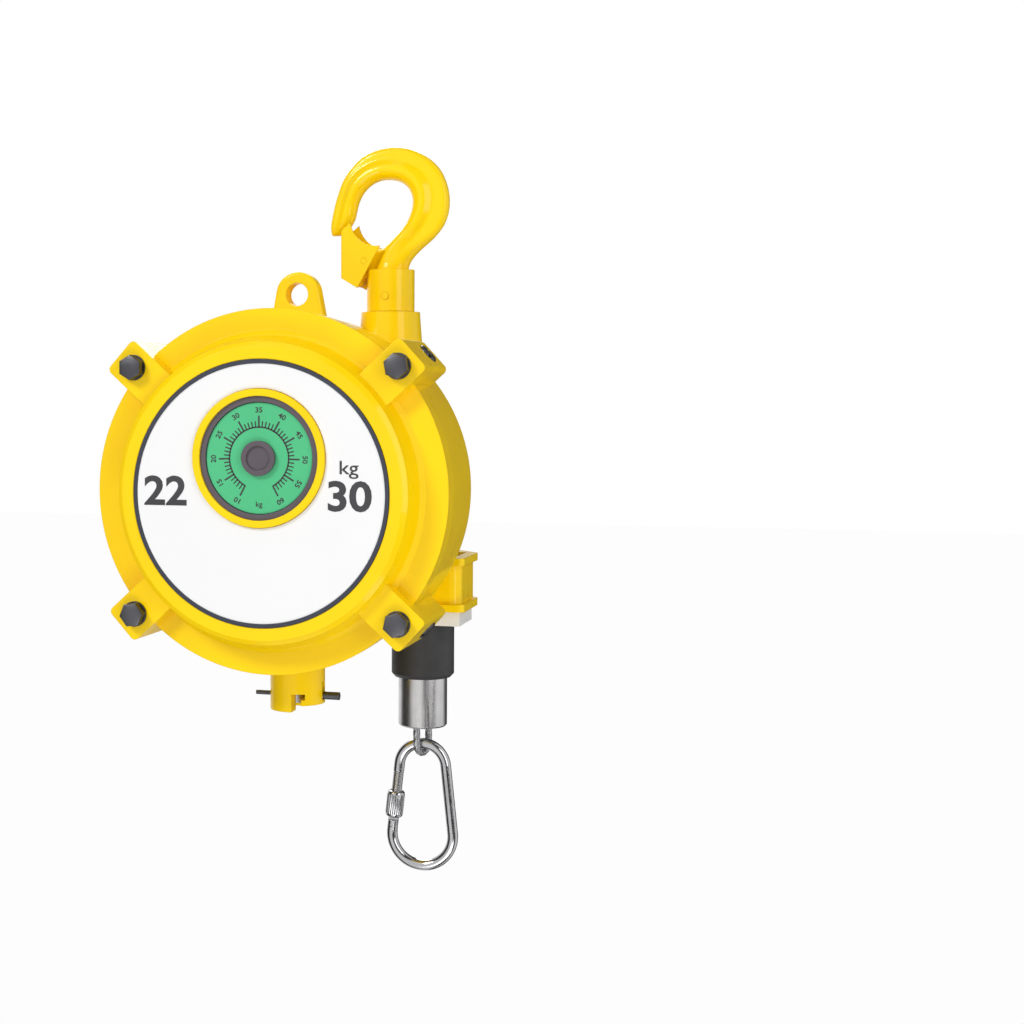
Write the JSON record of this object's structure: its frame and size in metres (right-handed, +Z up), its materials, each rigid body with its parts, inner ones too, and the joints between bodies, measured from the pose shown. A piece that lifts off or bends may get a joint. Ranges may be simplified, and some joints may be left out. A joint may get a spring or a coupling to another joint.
{
  "type": "tool balancer",
  "caption": "Spring balancer for hanging tools: round case with load dial, swivel hook, conical rope drum, wire rope with screw-lock carabiner, drum lock.",
  "frame": {"origin": "seat of the suspension hook, where a bar carries the balancer", "axes": "+Z up; the case axis runs along Y with the dial towards -Y; +X towards the rope side"},
  "size_m": [0.204, 0.202, 0.4345],
  "materials": {
    "yellow_casting": "gloss",
    "yellow_steel": "gloss",
    "plate_white": "satin",
    "trim_dark": "matte",
    "dial_grey": "satin",
    "dial_green": "satin",
    "bolt_steel": "satin",
    "bare_steel": "satin",
    "bronze": "satin",
    "nylon": "satin",
    "rubber": "matte",
    "brushed_steel": "brushed",
    "wire_rope": "satin",
    "drum_casting": "satin",
    "plated_steel": "gloss",
    "spring_steel": "satin"
  },
  "bodies": {
    "hook": {"suspension_hook": "yellow_steel", "swivel_collar": "yellow_steel", "collar_pin": "yellow_steel", "swivel_washer": "bare_steel", "swivel_nut": "bare_steel", "latch_pin": "yellow_steel"},
    "latch": {"hook_latch": "yellow_steel"},
    "case": {"rear_casing": "yellow_casting", "front_cover": "yellow_casting", "nameplate": "plate_white", "nameplate_trim": "trim_dark", "dial_bezel": "yellow_casting", "dial_gasket": "dial_grey", "shaft_bridge": "drum_casting", "front_bush": "bronze", "rear_bush": "bronze", "cover_bolts": "bolt_steel", "bolt_washers": "bolt_steel", "barrel_nuts": "bolt_steel", "gear_housing": "yellow_casting", "rope_guide": "nylon"},
    "shaft": {"main_shaft": "bolt_steel", "worm_wheel": "bronze", "shaft_gear": "bare_steel"},
    "worm": {"worm_shaft": "bolt_steel"},
    "dial": {"dial_disc": "dial_green", "dial_spindle": "dial_grey", "dial_gear": "bare_steel"},
    "drum": {"rope_drum": "drum_casting", "rope_coil": "wire_rope", "mainspring": "spring_steel", "spring_cover": "drum_casting", "drum_bush_front": "bronze", "drum_bush_rear": "bronze"},
    "rope_end": {"rubber_buffer": "rubber", "rope_sleeve": "brushed_steel", "rope_eye": "wire_rope", "rope_run": "wire_rope"},
    "carabiner": {"carabiner_ring": "plated_steel", "gate_rivet": "plated_steel"},
    "gate": {"carabiner_gate": "plated_steel"},
    "lock": {"lock_sleeve": "plated_steel"},
    "plunger": {"lock_plunger": "bare_steel", "cross_pin": "bolt_steel"}
  },
  "joints": [
    {"name": "hook_swivel", "type": "hinge", "parent": "hook", "child": "case", "pos_m": [0, 0, -0.0685], "axis": [0, 0, 1], "continuous": true},
    {"name": "latch_hinge", "type": "hinge", "parent": "hook", "child": "latch", "pos_m": [-0.0135, 0, -0.047], "axis": [0, 1, 0], "range_deg": [0, 32], "stiffness_Nm_per_rad": 0.02, "springref_deg": -28.65},
    {"name": "shaft_turn", "type": "hinge", "parent": "case", "child": "shaft", "pos_m": [-0.052, 0.012, -0.1785], "axis": [0, 1, 0], "range_deg": [0, 270]},
    {"name": "worm_turn", "type": "hinge", "parent": "case", "child": "worm", "pos_m": [-0.077, 0.094, -0.1785], "axis": [0, 0, 1], "range_deg": [0, 8100]},
    {"name": "dial_turn", "type": "hinge", "parent": "case", "child": "dial", "pos_m": [-0.052, -0.085, -0.159], "axis": [0, 1, 0], "range_deg": [-270, 0]},
    {"name": "drum_turn", "type": "hinge", "parent": "case", "child": "drum", "pos_m": [-0.052, 0.012, -0.1785], "axis": [0, 1, 0], "range_deg": [0, 1200], "stiffness_Nm_per_rad": 0.25, "springref_deg": -3437.75},
    {"name": "rope_travel", "type": "slide", "parent": "case", "child": "rope_end", "axis": [0, 0, -1], "range_m": [0, 1.5], "deforming": ["rope_run"]},
    {"name": "carabiner_swing", "type": "hinge", "parent": "rope_end", "child": "carabiner", "pos_m": [0.01, 0.042, -0.3368], "axis": [1, 0, 0], "range_deg": [-70, 70]},
    {"name": "gate_hinge", "type": "hinge", "parent": "carabiner", "child": "gate", "pos_m": [-0.00858, 0.042, -0.38831], "axis": [0, 1, 0], "range_deg": [0, 20], "stiffness_Nm_per_rad": 0.01, "springref_deg": -45.84},
    {"name": "lock_screw", "type": "slide", "parent": "gate", "child": "lock", "axis": [0.1074, 0, 0.9942], "range_m": [0, 0.0165]},
    {"name": "plunger_slide", "type": "slide", "parent": "case", "child": "plunger", "axis": [0, 0, 1], "range_m": [0, 0.006]}
  ],
  "couplings": [
    {"joint": "worm_turn", "follows": "shaft_turn", "ratio": 30},
    {"joint": "dial_turn", "follows": "shaft_turn", "ratio": -1},
    {"joint": "rope_travel", "follows": "drum_turn", "m_per_rad": 0.07162}
  ]
}
